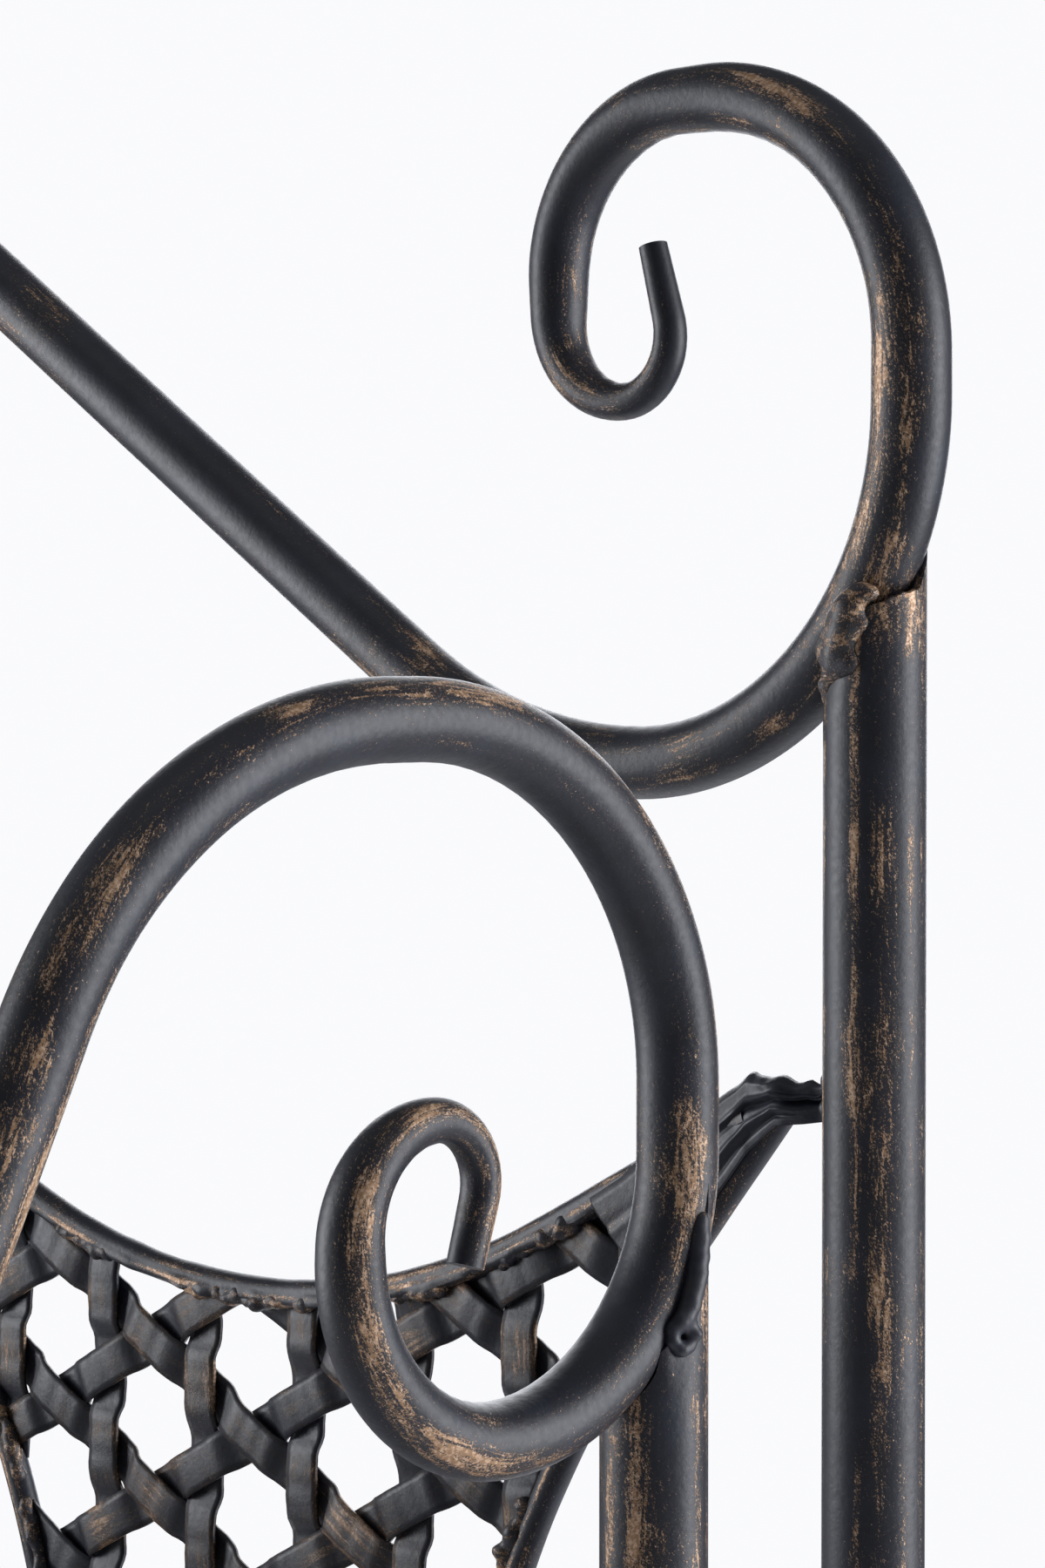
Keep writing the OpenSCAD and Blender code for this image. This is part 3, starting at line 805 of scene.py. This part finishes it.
def panel_outline():
    """Right half of the middle line of a panel's bars, then its mirror, with each bar's radius."""
    tan_top = math.radians(PANEL_TILT)
    top = []
    for i in range(10):
        a = tan_top * i / 9
        rise = PANEL_BEND * (1 - math.cos(a))
        top.append((PANEL_BEND * math.sin(a), PANEL_TOP_Z + rise, PANEL_R))
    corner_z = top[-1][1] + (CORNER_X - top[-1][0]) * math.tan(tan_top)
    tilt = math.radians(SIDE_TILT)
    on_top = (
        CORNER_X - GUSSET_RUN * math.cos(tan_top), corner_z - GUSSET_RUN * math.sin(tan_top), 0.0,
    )
    on_side = (
        CORNER_X - GUSSET_RUN * math.cos(tilt), corner_z - GUSSET_RUN * math.sin(tilt), PANEL_R,
    )
    side_x = CORNER_X - SIDE_RUN * math.cos(tilt)
    side_z = corner_z - SIDE_RUN * math.sin(tilt)
    side = []
    turn = math.acos(math.cos(tilt) - (side_z - SEAT_Z) / SIDE_BEND) - tilt
    for i in range(9):
        a = tilt + turn * i / 8
        side.append((
            side_x + SIDE_BEND * (math.sin(tilt) - math.sin(a)),
            side_z - SIDE_BEND * (math.cos(tilt) - math.cos(a)),
            PANEL_R,
        ))
    side[-1] = (side[-1][0], side[-1][1], RAIL_R)
    right = top + [on_top, on_side] + side
    left = []
    for i in range(len(right) - 1, -1, -1):
        bar = right[i - 1][2] if i else PANEL_R
        left.append((-right[i][0], right[i][1], bar))
    return right + left, corner_z


PANEL_OUTLINE, PANEL_CORNER_Z = panel_outline()


def weave(outline, half_w, half_h, names, to_world, nodes, fine, shift):
    """Weaves one panel: three sets of strips, each one piece."""
    for slant, name, node in zip((0, 1, -1), names, nodes):
        strips = []
        for *line, seed in weave_spans(outline, slant, half_w, half_h):
            o = make_strip(*line, to_world, seed + shift, fine)
            if o:
                strips.append(o)
        finished(joined(strips, name), strip_paint, "strip", node)


def end_lumps(outline, half_w, half_h, to_world, seed, corner_clear):
    """Centres and sizes of the weld lumps that hold the strips' ends to the bars."""
    rng = np.random.default_rng(seed)
    points, sizes = [], []
    for slant in (0, 1, -1):
        for start, direction, span, _, _, _ in weave_spans(outline, slant, half_w, half_h):
            if strip_end(span[1], direction)[0] - strip_end(span[0], direction)[0] < 14:
                continue
            for sign, (along, tangent, bar) in ((-1, span[0]), (1, span[1])):
                if bar == 0 or abs(start[0] + along * direction[0]) > corner_clear:
                    continue
                hit = np.array(start) + along * np.array(direction)
                inward = -sign * np.array(direction)
                inward = inward - np.dot(inward, tangent) * np.array(tangent)
                inward /= max(np.linalg.norm(inward), 1e-6)
                reach = 5.5 + 2.0 * rng.random()
                for step in np.arange(-reach, reach + 0.1, 1.9):
                    at = hit + np.array(tangent) * (step + rng.normal(0, 0.3))
                    at = at + inward * (bar * 0.62 + rng.normal(0, 0.45))
                    out = np.array([bar * 0.62 + rng.normal(0, 0.4)])
                    points.append(to_world(at[:1], at[1:], out)[0])
                    sizes.append(rng.uniform(1.6, 2.9))
    return points, sizes


def make_panel_weave(side, middle_x):
    outline = [(x, z - HOLE_Z, bar) for x, z, bar in PANEL_OUTLINE]

    def to_world(x, y, out):
        return np.stack([middle_x + x, BACK_Y - out, HOLE_Z + y], axis=1)

    words = ("upright", "rising", "falling")
    weave(
        outline, PANEL_X, 150, [f"{w}_strips_woven_{side}" for w in words], to_world,
        [f"{w}_strips_{side}" for w in words], 1.7, 3 if side == "left" else 0,
    )
    points, sizes = end_lumps(outline, PANEL_X, 150, to_world, 400, CORNER_X - 40)
    o = weld_bead(points, sizes, 401, 0.7, "strip_end_welds_" + side, 0.75, 10)
    finished(o, weld_paint, "weld")


def make_seat_weave():
    half_x, half_y = POST_X, (BACK_Y - SEAT_FRONT_Y) / 2
    middle_y = (BACK_Y + SEAT_FRONT_Y) / 2
    outline = [
        (half_x, -half_y, RAIL_R), (half_x, half_y, RAIL_R),
        (-half_x, half_y, RAIL_R), (-half_x, -half_y, RAIL_R),
    ]

    def to_world(x, y, out):
        sag = np.clip(1 - (x / half_x) ** 2, 0, 1) * np.clip(1 - (y / half_y) ** 2, 0, 1)
        z = SEAT_Z + SEAT_WEAVE_UP + out - SEAT_SAG * sag
        return np.stack([x, middle_y + y, z], axis=1)

    words = ("straight", "rising", "falling")
    weave(
        outline, half_x, half_y, [f"seat_{w}_strips_woven" for w in words], to_world,
        [f"seat_{w}_strips" for w in words], 3.0, 900,
    )


# ---- Back panel's bars and folded corners ----


def make_panel_bars(side, middle_x):
    tilt_top, tilt = math.radians(PANEL_TILT), math.radians(SIDE_TILT)
    run = (CORNER_X - PANEL_BEND * math.sin(tilt_top)) / math.cos(tilt_top) - 14
    top_steps = [[PANEL_BEND, PANEL_TILT], [0, run]]
    total = route_length(top_steps)
    stops = np.linspace(0, total, int(total / 1.5))
    half = route_places(top_steps, stops)
    rows = mirrored_rows(half, half)
    plane = ((middle_x, BACK_Y, PANEL_TOP_Z), (1, 0, 0), (0, 0, 1))
    radius = PANEL_R + 0.25 * (drift(np.arange(len(rows)) * 1.5, 9.0, 61) - 0.5)

    def ridge(t, angle):
        high = 0.5 + 1.4 * drift(t, 4.5, 64) * np.clip(drift(t, 16, 65) * 1.8, 0.3, 1.2)
        return high * band(angle, 118 + 14 * (drift(t, 9, 66) - 0.5), 34) ** 0.7

    def rub(t, angle):
        patch = 0.35 + 0.65 * drift(t, 18, 62)
        line = band(angle, 98, 16) * 0.9 + band(angle, 55, 22) * 0.45 + band(angle, 140, 25) * 0.5
        return np.clip(0.22 + patch * (1.2 * line + 0.4 * band(angle, 270, 70)), 0, 1.2)

    pieces = [
        swept("top_bar", rows, radius, plane, 2 * total, rub, 9, squash=0.0, extra=ridge)
    ]
    side_z = PANEL_CORNER_Z - SIDE_RUN * math.sin(tilt)
    turn = math.acos(math.cos(tilt) - (side_z - SEAT_Z - 6) / SIDE_BEND) - tilt
    steps = [[0, SIDE_RUN - 4], [SIDE_BEND, math.degrees(turn)]]
    total_side = route_length(steps)
    stops = np.linspace(0, total_side, int(total_side / 2.5))
    local = route_places(steps, stops)
    start_x, start_z = CORNER_X - 4 * math.cos(tilt), PANEL_CORNER_Z - 4 * math.sin(tilt) - 2.5
    for flip in (1, -1):
        heading = math.pi + tilt
        c, s = math.cos(heading), math.sin(heading)
        rows = local.copy()
        rows[:, 0] = flip * (start_x + local[:, 0] * c - local[:, 1] * s)
        rows[:, 1] = start_z - PANEL_TOP_Z + local[:, 0] * s + local[:, 1] * c
        angle = local[:, 2] + heading
        rows[:, 2] = angle if flip > 0 else np.pi - angle
        rows[:, 3] *= flip
        radius = PANEL_R + 0.2 * (drift(stops, 14.0, 71 + flip) - 0.5)
        pieces.append(
            swept("side_bar", rows, radius, plane, total_side, rub, 15 + flip, squash=0.0)
        )
    o = joined(pieces, "panel_bars_" + side)
    return finished(o, tube_paint, "tube", "panel_frame_" + side)


# The four corners: the post that each meets, and 1 for a corner left of it or -1 for one right.
CORNERS = (POST_X, 1), (0.0, -1), (0.0, 1), (-POST_X, -1)


def fold_sheet(post_x, sign):
    """Crushed corner of a panel: a sheet that closes the wedge between its two bars, folded over
    the top bar and nipped flat where it meets the post."""
    stops = [0.0, 0.09, 0.18, 0.27, 0.52, 0.82, 1.0]
    # Distance from the post's middle and height over the corner, along the fold and its lower edge.
    top_line = (12.3, 20, 29, 37, 60, 81, 92), (3.2, 1.6, 3.0, 3.4, -10.6, -24.6, -30.5)
    low_line = (12.3, 20, 28, 36, 50, 64, 70), (-7.0, -8.2, -9.0, -15.5, -31.6, -47.3, -53.0)

    def place(u, v):
        top = np.stack([np.interp(u, stops, row) for row in top_line], axis=1)
        low = np.stack([np.interp(u, stops, row) for row in low_line], axis=1)
        xz = top * (1 - v)[:, None] + low * v[:, None]
        wide = np.clip((u - 0.04) / 0.11, 0, 1)
        near_post = np.exp(-((u / 0.33) ** 2))
        roll = np.clip(v / 0.14, 0, 1) ** 0.5
        plate = (1.3 + (3.6 + 0.4 * np.sin(np.pi * v)) * wide) * (0.25 + 0.75 * roll)
        crease = 1.0 * np.exp(-(((v - 0.34 - 0.10 * u) / 0.05) ** 2)) * (0.5 + near_post)
        crease -= 1.3 * np.exp(-(((v - 0.47 + 0.08 * u) / 0.06) ** 2)) * (0.4 + near_post)
        crease += 0.9 * np.exp(-(((v - 0.62 - 0.20 * u) / 0.06) ** 2)) * (0.3 + 0.8 * wide)
        crease -= 0.8 * np.exp(-(((v - 0.78 - 0.10 * u) / 0.05) ** 2)) * wide
        crease += 1.2 * np.exp(-(((u - 0.22 + 0.16 * v) / 0.03) ** 2)) * (1 - v)
        crumple = 1.6 * (drift(u * 75 + v * 14, 4.0, 81) - 0.5) * near_post
        forward = plate + crease + crumple
        jag = 2.56 * (drift(u * 80, 3.2, 82) - 0.5) * (1 - v) ** 2 * np.clip(1 - 2.4 * u, 0, 1)
        return np.stack(
            [post_x - sign * xz[:, 0], BACK_Y - forward, PANEL_CORNER_Z + xz[:, 1] + jag], axis=1
        )

    def rub(u, v):
        far = np.clip(u * 2 - 0.9, 0, 1)
        return np.clip(0.04 + far * 0.4 * drift(v * 30 + u * 20, 6, 83), 0, 1)

    o = wrapped("fold", 84, 48, place, (90, 34), rub)
    if sign < 0:
        edit_all(o)
        bpy.ops.mesh.flip_normals()
        bpy.ops.object.mode_set(mode="OBJECT")
    modified(o, "SOLIDIFY", thickness=1.3 * MM, offset=-1.0)
    return o


def make_corner_folds():
    o = joined([fold_sheet(*corner) for corner in CORNERS], "panel_corner_folds")
    return finished(o, tube_paint, "tube", "corner_gussets")


# ---- Welds ----


def weld_bead(points, sizes, seed, voxel, name, bronze, smoothing):
    """Lumpy beads: balls run together along a seam, remeshed to a single skin and smoothed. bronze
    is how much is rubbed on them."""
    rng = np.random.default_rng(seed)
    deselect()
    bpy.ops.mesh.primitive_ico_sphere_add(subdivisions=2, radius=1.0)
    ball = bpy.context.object
    shape = np.array([v.co[:] for v in ball.data.vertices])
    corners = np.array([p.vertices[:] for p in ball.data.polygons])
    bpy.data.objects.remove(ball)
    points = np.array(points) + rng.normal(0, 0.2, (len(points), 3))
    stretch = rng.uniform(0.85, 1.15, (len(points), 1, 3)) * np.array(sizes)[:, None, None]
    verts = (points[:, None, :] + shape[None] * stretch).reshape(-1, 3) * MM
    faces = (corners[None] + (np.arange(len(points)) * len(shape))[:, None, None]).reshape(-1, 3)
    mesh = bpy.data.meshes.new(name)
    mesh.from_pydata(verts.tolist(), [], faces.tolist())
    o = bpy.data.objects.new(name, mesh)
    bpy.context.scene.collection.objects.link(o)
    modified(o, "REMESH", mode="VOXEL", voxel_size=voxel * MM)
    modified(o, "SMOOTH", factor=0.6, iterations=smoothing)
    mesh = o.data
    worn = mesh.attributes.new("rub", "FLOAT", "POINT")
    worn.data.foreach_set("value", np.full(len(mesh.vertices), bronze))
    bpy.ops.object.shade_smooth()
    return o


def ring_points(centre, axis, radius, angles):
    """Points of a ring about an axis 0, 1 or 2, at angles in degrees."""
    p, q = [i for i in range(3) if i != axis]
    for a in angles:
        point = np.array(centre, dtype=float)
        point[p] += radius * math.cos(math.radians(a))
        point[q] += radius * math.sin(math.radians(a))
        yield point


def on_post(side, y, angle, radius, z):
    """A point beside a post at y, on the right for side 1 and on the left for side -1."""
    a = math.radians(angle)
    return (side * (POST_X + radius * math.cos(a)), y + radius * math.sin(a), z)


def rail_lumps(side):
    """Weld where the top rail lands on a back post: angle, height over the trough and size."""
    rows = [
        (-56, 42.0, 1.9), (-66, 41.5, 2.4), (-76, 40.0, 2.8), (-83, 37.5, 3.5), (-88, 34.0, 3.4),
        (-92, 31.0, 3.7), (-98, 28.0, 3.3), (-104, 25.5, 3.1), (-84, 25.5, 2.6), (-94, 24.0, 2.6),
        (-116, 22.5, 2.6), (-130, 20.0, 2.3), (-148, 17.5, 2.1), (-165, 15.5, 2.0),
        (180, 14.5, 2.0), (160, 15.5, 2.0), (140, 18.5, 2.2), (120, 23.0, 2.4), (104, 28.0, 2.8),
        (90, 33.0, 2.6), (-72, 35.0, 2.2), (-100, 33.0, 2.6), (-112, 28.5, 3.4),
        (-106, 32.5, 3.2), (-98, 36.0, 3.0),
    ]
    for angle, height, size in rows:
        yield on_post(side, BACK_Y, angle, 11.0, TROUGH_Z + height), size * 1.4


def arm_lumps(side):
    """Weld beside an arm where its post's rim touches it, with a pit in its lower end."""
    for angle in np.arange(-14, 33, 1.2):
        z = float(arm_rim(np.array([angle]))[0])
        size = 2.2 + 0.6 * math.sin(angle * 0.5) ** 2
        yield on_post(side, ARM_Y, angle, 11.4 - 0.02 * angle, z), size
    z = float(arm_rim(np.array([-18.0]))[0])
    for k in range(7):
        turn = 2 * math.pi * k / 7
        yield on_post(
            side, ARM_Y, -13 + 15 * math.cos(turn), 11.9, z - 1.5 + 3.4 * math.sin(turn)
        ), 2.3
    for angle in range(140, 221, 6):
        z = float(arm_rim(np.array([float(angle)]))[0])
        yield on_post(side, ARM_Y, angle, 10.9, z), 1.7


def corner_lumps(post_x, sign):
    """Weld down the line where a folded corner meets its post."""
    for i in range(8):
        z = PANEL_CORNER_Z + 4.5 - 11.5 * i / 7
        yield (post_x - sign * 12.7, BACK_Y - 1.0 - 0.9 * (i % 2), z), 1.6 + 0.5 * (i % 3)
    for i in range(4):
        x, z = post_x - sign * (12.4 + 0.5 * i), PANEL_CORNER_Z + 7.8 - 1.7 * i
        yield (x, BACK_Y - 1.0, z), 0.9 + 0.3 * i


def frame_lumps(side):
    """Weld rings round the ends of the seat's rails and the stretcher."""
    x, inner = side * POST_X, side * (POST_X - POST_R)
    low_z = middle_mm("side_stretcher_right")[2]
    rings = [
        ((inner, BACK_Y, SEAT_Z), 0, RAIL_R + 0.3),
        ((side * (POST_X - RAIL_R), SEAT_FRONT_Y, SEAT_Z), 0, RAIL_R + 0.2),
        ((x, BACK_Y - POST_R, SEAT_Z), 1, RAIL_R + 0.3),
        ((x, BACK_Y - POST_R, low_z), 1, 8.2),
        ((x, ARM_Y, SEAT_Z + 8.5), 2, POST_R),
    ]
    for centre, axis, radius in rings:
        for point in ring_points(centre, axis, radius, range(0, 360, 9)):
            yield point, 1.3


def make_welds():
    both = (1, -1)
    under_crest = (0, BACK_Y, CREST_Z - RAIL_R - 0.6)
    crest = [(p, 1.3) for p in ring_points(under_crest, 2, POST_R - 0.6, range(0, 360, 8))]
    rail = [r for s in both for r in rail_lumps(s)] + crest
    arm = [r for s in both for r in arm_lumps(s)]
    panel = [r for c in CORNERS for r in corner_lumps(*c)]
    for name, rows, voxel, bronze, node in (
        ("rail_weld_beads", rail, 0.55, 0.62, "rail_welds"),
        ("arm_weld_beads", arm, 0.5, 0.12, "arm_welds"),
        ("panel_weld_beads", panel, 0.5, 0.10, "panel_welds"),
        ("frame_weld_beads", [r for s in both for r in frame_lumps(s)], 0.8, 0.25, None),
    ):
        points, sizes = zip(*rows)
        o = weld_bead(points, sizes, 92, voxel, name, bronze, 22)
        finished(o, weld_paint, "weld", *([node] if node else []))


# ---- Foot caps ----


def make_foot_cap(node):
    """Ribbed rubber cap: a cylinder, recessed for the tube, with a groove and rounded rims."""
    low, high = box_mm(node)
    cx, cy = (low[0] + high[0]) / 2 * MM, (low[1] + high[1]) / 2 * MM
    r, height = (high[0] - low[0]) / 2 * MM, high[2] * MM
    wall, recess = 3.0 * MM, 9.0 * MM
    deselect()
    bpy.ops.mesh.primitive_cylinder_add(
        vertices=64, radius=r, depth=height, location=(cx, cy, height / 2)
    )
    bpy.ops.object.transform_apply(location=True, rotation=True, scale=True)
    o = own(node + "_rubber")
    edit_all(o)
    pick(o, "faces", lambda f: f.normal.z > 0.9)
    bpy.ops.mesh.inset(thickness=wall, depth=0)
    bpy.ops.mesh.extrude_region_move(TRANSFORM_OT_translate={"value": (0, 0, -recess)})
    for z in (5.5, 6.2, 7.2, 7.9):
        bpy.ops.mesh.select_all(action="SELECT")
        bpy.ops.mesh.bisect(plane_co=(cx, cy, z * MM), plane_no=(0, 0, 1))
    pick(o, "verts", lambda v: 6.0 * MM < v.co.z < 7.4 * MM)
    shrink = (r - 0.5 * MM) / r
    bpy.ops.transform.resize(value=(shrink, shrink, 1), center_override=(cx, cy, 6.7 * MM))

    def on_rim(edge):
        a, b = (v.co for v in edge.verts)
        level = abs(a.z - b.z) < 1e-6 and (a.z < 1e-6 or a.z > height - 1e-6)
        outer = math.hypot(a.x - cx, a.y - cy) > r - wall * 1.1
        return level and outer and edge.calc_face_angle(0) > 0.5

    pick(o, "edges", on_rim)
    bpy.ops.mesh.bevel(offset=0.9 * MM, segments=3, affect="EDGES")
    bpy.ops.mesh.select_all(action="SELECT")
    bpy.ops.mesh.normals_make_consistent(inside=False)
    bpy.ops.object.mode_set(mode="OBJECT")
    bpy.ops.object.shade_smooth_by_angle(angle=math.radians(40))
    return finished(o, rubber, "foot", node)


# ---- Straight tubes that keep their CAD shape ----


def paint_cad_tubes():
    """Paints the tubes that keep their CAD shape, by the axis they run along."""
    rows = {
        2: ("centre_post",),
        0: ("seat_front_rail", "seat_rear_rail"),
        1: (
            "seat_side_rail_right", "seat_side_rail_left", "seat_cross_bars",
            "side_stretcher_right", "side_stretcher_left",
        ),
    }
    for axis, nodes in rows.items():
        paint = straight_tube_paint("straight_tube_paint_" + "xyz"[axis], axis)
        for node in nodes:
            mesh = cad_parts[node].data
            if not mesh.materials:
                mesh.materials.append(paint)
            for i in range(len(mesh.materials)):
                mesh.materials[i] = paint


# ---- Floor, light and camera ----


def make_floor():
    deselect()
    bpy.ops.mesh.primitive_circle_add(vertices=96, radius=1.9, fill_type="NGON", location=(0, 0, 0))
    floor = own("floor")
    m = Nodes("floor_white")
    m.shader.inputs["Base Color"].default_value = (0.86, 0.86, 0.87, 1)
    m.shader.inputs["Roughness"].default_value = 0.7
    far = m.add("ShaderNodeVectorMath", operation="LENGTH")
    m.link(m.flat, far.inputs[0])
    fade = m.ramp(far.outputs["Value"], 1.85, 0.9)
    m.shader.inputs["Emission Color"].default_value = (0.95, 0.96, 1.0, 1)
    m.shader.inputs["Emission Strength"].default_value = 0.35
    m.link(fade, m.shader.inputs["Alpha"])
    floor.data.materials.append(m.material)


def soft_box(name, azimuth, elevation, distance, size, power, target=(0.1, 0.0, 0.5)):
    a, e = math.radians(azimuth), math.radians(elevation)
    back = Vector((math.sin(a) * math.cos(e), -math.cos(a) * math.cos(e), math.sin(e)))
    light = bpy.data.lights.new(name, "AREA")
    light.shape = "RECTANGLE"
    light.size, light.size_y = size
    light.energy = power
    light.color = (0.93, 0.95, 1.0)
    o = bpy.data.objects.new(name, light)
    o.location = Vector(target) + back * distance
    o.rotation_mode = "QUATERNION"
    o.rotation_quaternion = (-back).to_track_quat("-Z", "Y")
    o.visible_camera = False
    bpy.context.scene.collection.objects.link(o)


def make_light():
    scene = bpy.context.scene
    scene.view_settings.view_transform = "Standard"
    world = bpy.data.worlds.new("studio")
    world.use_nodes = True
    tree = world.node_tree
    tree.nodes.clear()
    seen = tree.nodes.new("ShaderNodeBackground")
    seen.inputs["Color"].default_value = (0.955, 0.958, 0.975, 1)
    fill = tree.nodes.new("ShaderNodeBackground")
    fill.inputs["Color"].default_value = (0.92, 0.95, 1.0, 1)
    fill.inputs["Strength"].default_value = 0.20
    path = tree.nodes.new("ShaderNodeLightPath")
    mix = tree.nodes.new("ShaderNodeMixShader")
    out = tree.nodes.new("ShaderNodeOutputWorld")
    tree.links.new(path.outputs["Is Camera Ray"], mix.inputs[0])
    tree.links.new(fill.outputs[0], mix.inputs[1])
    tree.links.new(seen.outputs[0], mix.inputs[2])
    tree.links.new(mix.outputs[0], out.inputs["Surface"])
    scene.world = world
    soft_box("left_box", -58, 4, 3.0, (1.2, 2.6), 120)
    soft_box("right_box", 126, 5, 3.0, (1.2, 2.6), 120)
    soft_box("back_box", 215, 12, 3.4, (2.8, 2.4), 120)
    soft_box("top_box", 40, 80, 3.0, (2.0, 2.0), 7)


VIEW_AZIMUTH = 44.0
CAMERA_RIGHT, CAMERA_FRONT, CAMERA_UP = 0.668, 0.814, 0.0254
PITCH = math.atan(0.028)


def make_camera():
    data = bpy.data.cameras.new("camera")
    data.lens, data.sensor_width = 100.0, 36.0
    data.clip_start, data.clip_end = 0.05, 50.0
    camera = bpy.data.objects.new("camera", data)
    bpy.context.scene.collection.objects.link(camera)
    camera.location = (
        POST_X * MM + CAMERA_RIGHT, BACK_Y * MM - CAMERA_FRONT, TROUGH_Z * MM + CAMERA_UP,
    )
    a, level = math.radians(VIEW_AZIMUTH), math.cos(PITCH)
    ahead = Vector((-math.sin(a) * level, math.cos(a) * level, -math.sin(PITCH)))
    camera.rotation_mode = "QUATERNION"
    camera.rotation_quaternion = ahead.to_track_quat("-Z", "Y")
    bpy.context.scene.camera = camera


# ---- The bench ----

make_camera()
make_light()
make_floor()
make_top_rail()
make_arm("right", False)
make_arm("left", True)
for side, middle_x in (("right", PANEL_X), ("left", -PANEL_X)):
    make_panel_bars(side, middle_x)
    make_panel_weave(side, middle_x)
make_posts()
make_seat_weave()
make_corner_folds()
make_welds()
for place in ("back", "front"):
    make_foot_cap(place + "_foot_cap_right")
    make_foot_cap(place + "_foot_cap_left")
paint_cad_tubes()
